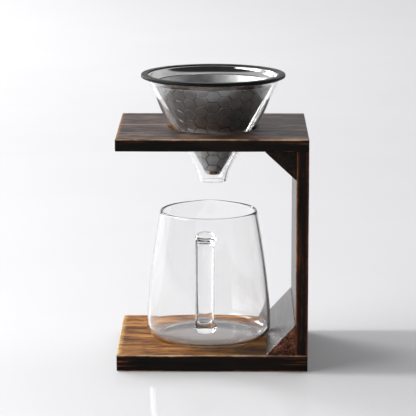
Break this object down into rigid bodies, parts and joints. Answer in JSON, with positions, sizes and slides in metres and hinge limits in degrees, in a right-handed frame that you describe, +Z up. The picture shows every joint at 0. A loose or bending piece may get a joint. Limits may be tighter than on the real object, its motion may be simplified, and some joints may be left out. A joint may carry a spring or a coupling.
{
  "type": "pour over dripper",
  "caption": "C-shaped wooden stand holding a glass cone dripper with a metal mesh filter over a glass carafe with a glass strap handle.",
  "frame": {"origin": "centre of the base board's underside", "axes": "+Z up, +X towards the side with the upright, -Y towards the front, where the carafe's handle points"},
  "size_m": [0.168, 0.1517, 0.2542],
  "materials": {
    "torched_wood": "torched and oiled, dark with worn reddish edges",
    "base_wood": "lightly torched and oiled, warm brown top",
    "dowel_wood": "plain hardwood",
    "screw_steel": "zinc plated",
    "clear_glass": "clear borosilicate glass, fire polished",
    "black_silicone": "satin silicone",
    "polished_steel": "polished stainless steel",
    "etched_steel": "etched stainless sheet with a hexagon pattern",
    "fine_mesh_steel": "fine woven stainless mesh"
  },
  "bodies": {
    "stand": {"base_board": "base_wood", "upright_board": "torched_wood", "shelf_board": "torched_wood", "lower_corner_block": "torched_wood", "upper_corner_block": "torched_wood", "shelf_dowel_front": "dowel_wood", "shelf_dowel_middle": "dowel_wood", "shelf_dowel_rear": "dowel_wood", "base_screw_front": "screw_steel", "base_screw_middle": "screw_steel", "base_screw_rear": "screw_steel"},
    "dripper": {"glass_dripper": "clear_glass"},
    "filter": {"filter_rim_ring": "black_silicone", "filter_collar": "polished_steel", "filter_outer_mesh": "etched_steel", "filter_inner_mesh": "fine_mesh_steel", "filter_base_cup": "polished_steel"},
    "carafe": {"carafe_body": "clear_glass", "carafe_handle": "clear_glass"}
  },
  "joints": [
    {"name": "dripper_lift", "type": "slide", "parent": "stand", "child": "dripper", "axis": [0, 0, 1], "range_m": [0, 0.06]},
    {"name": "filter_lift", "type": "slide", "parent": "dripper", "child": "filter", "axis": [0, 0, 1], "range_m": [0, 0.11]},
    {"name": "carafe_slide", "type": "slide", "parent": "stand", "child": "carafe", "axis": [0, -1, 0], "range_m": [0, 0.15]}
  ]
}
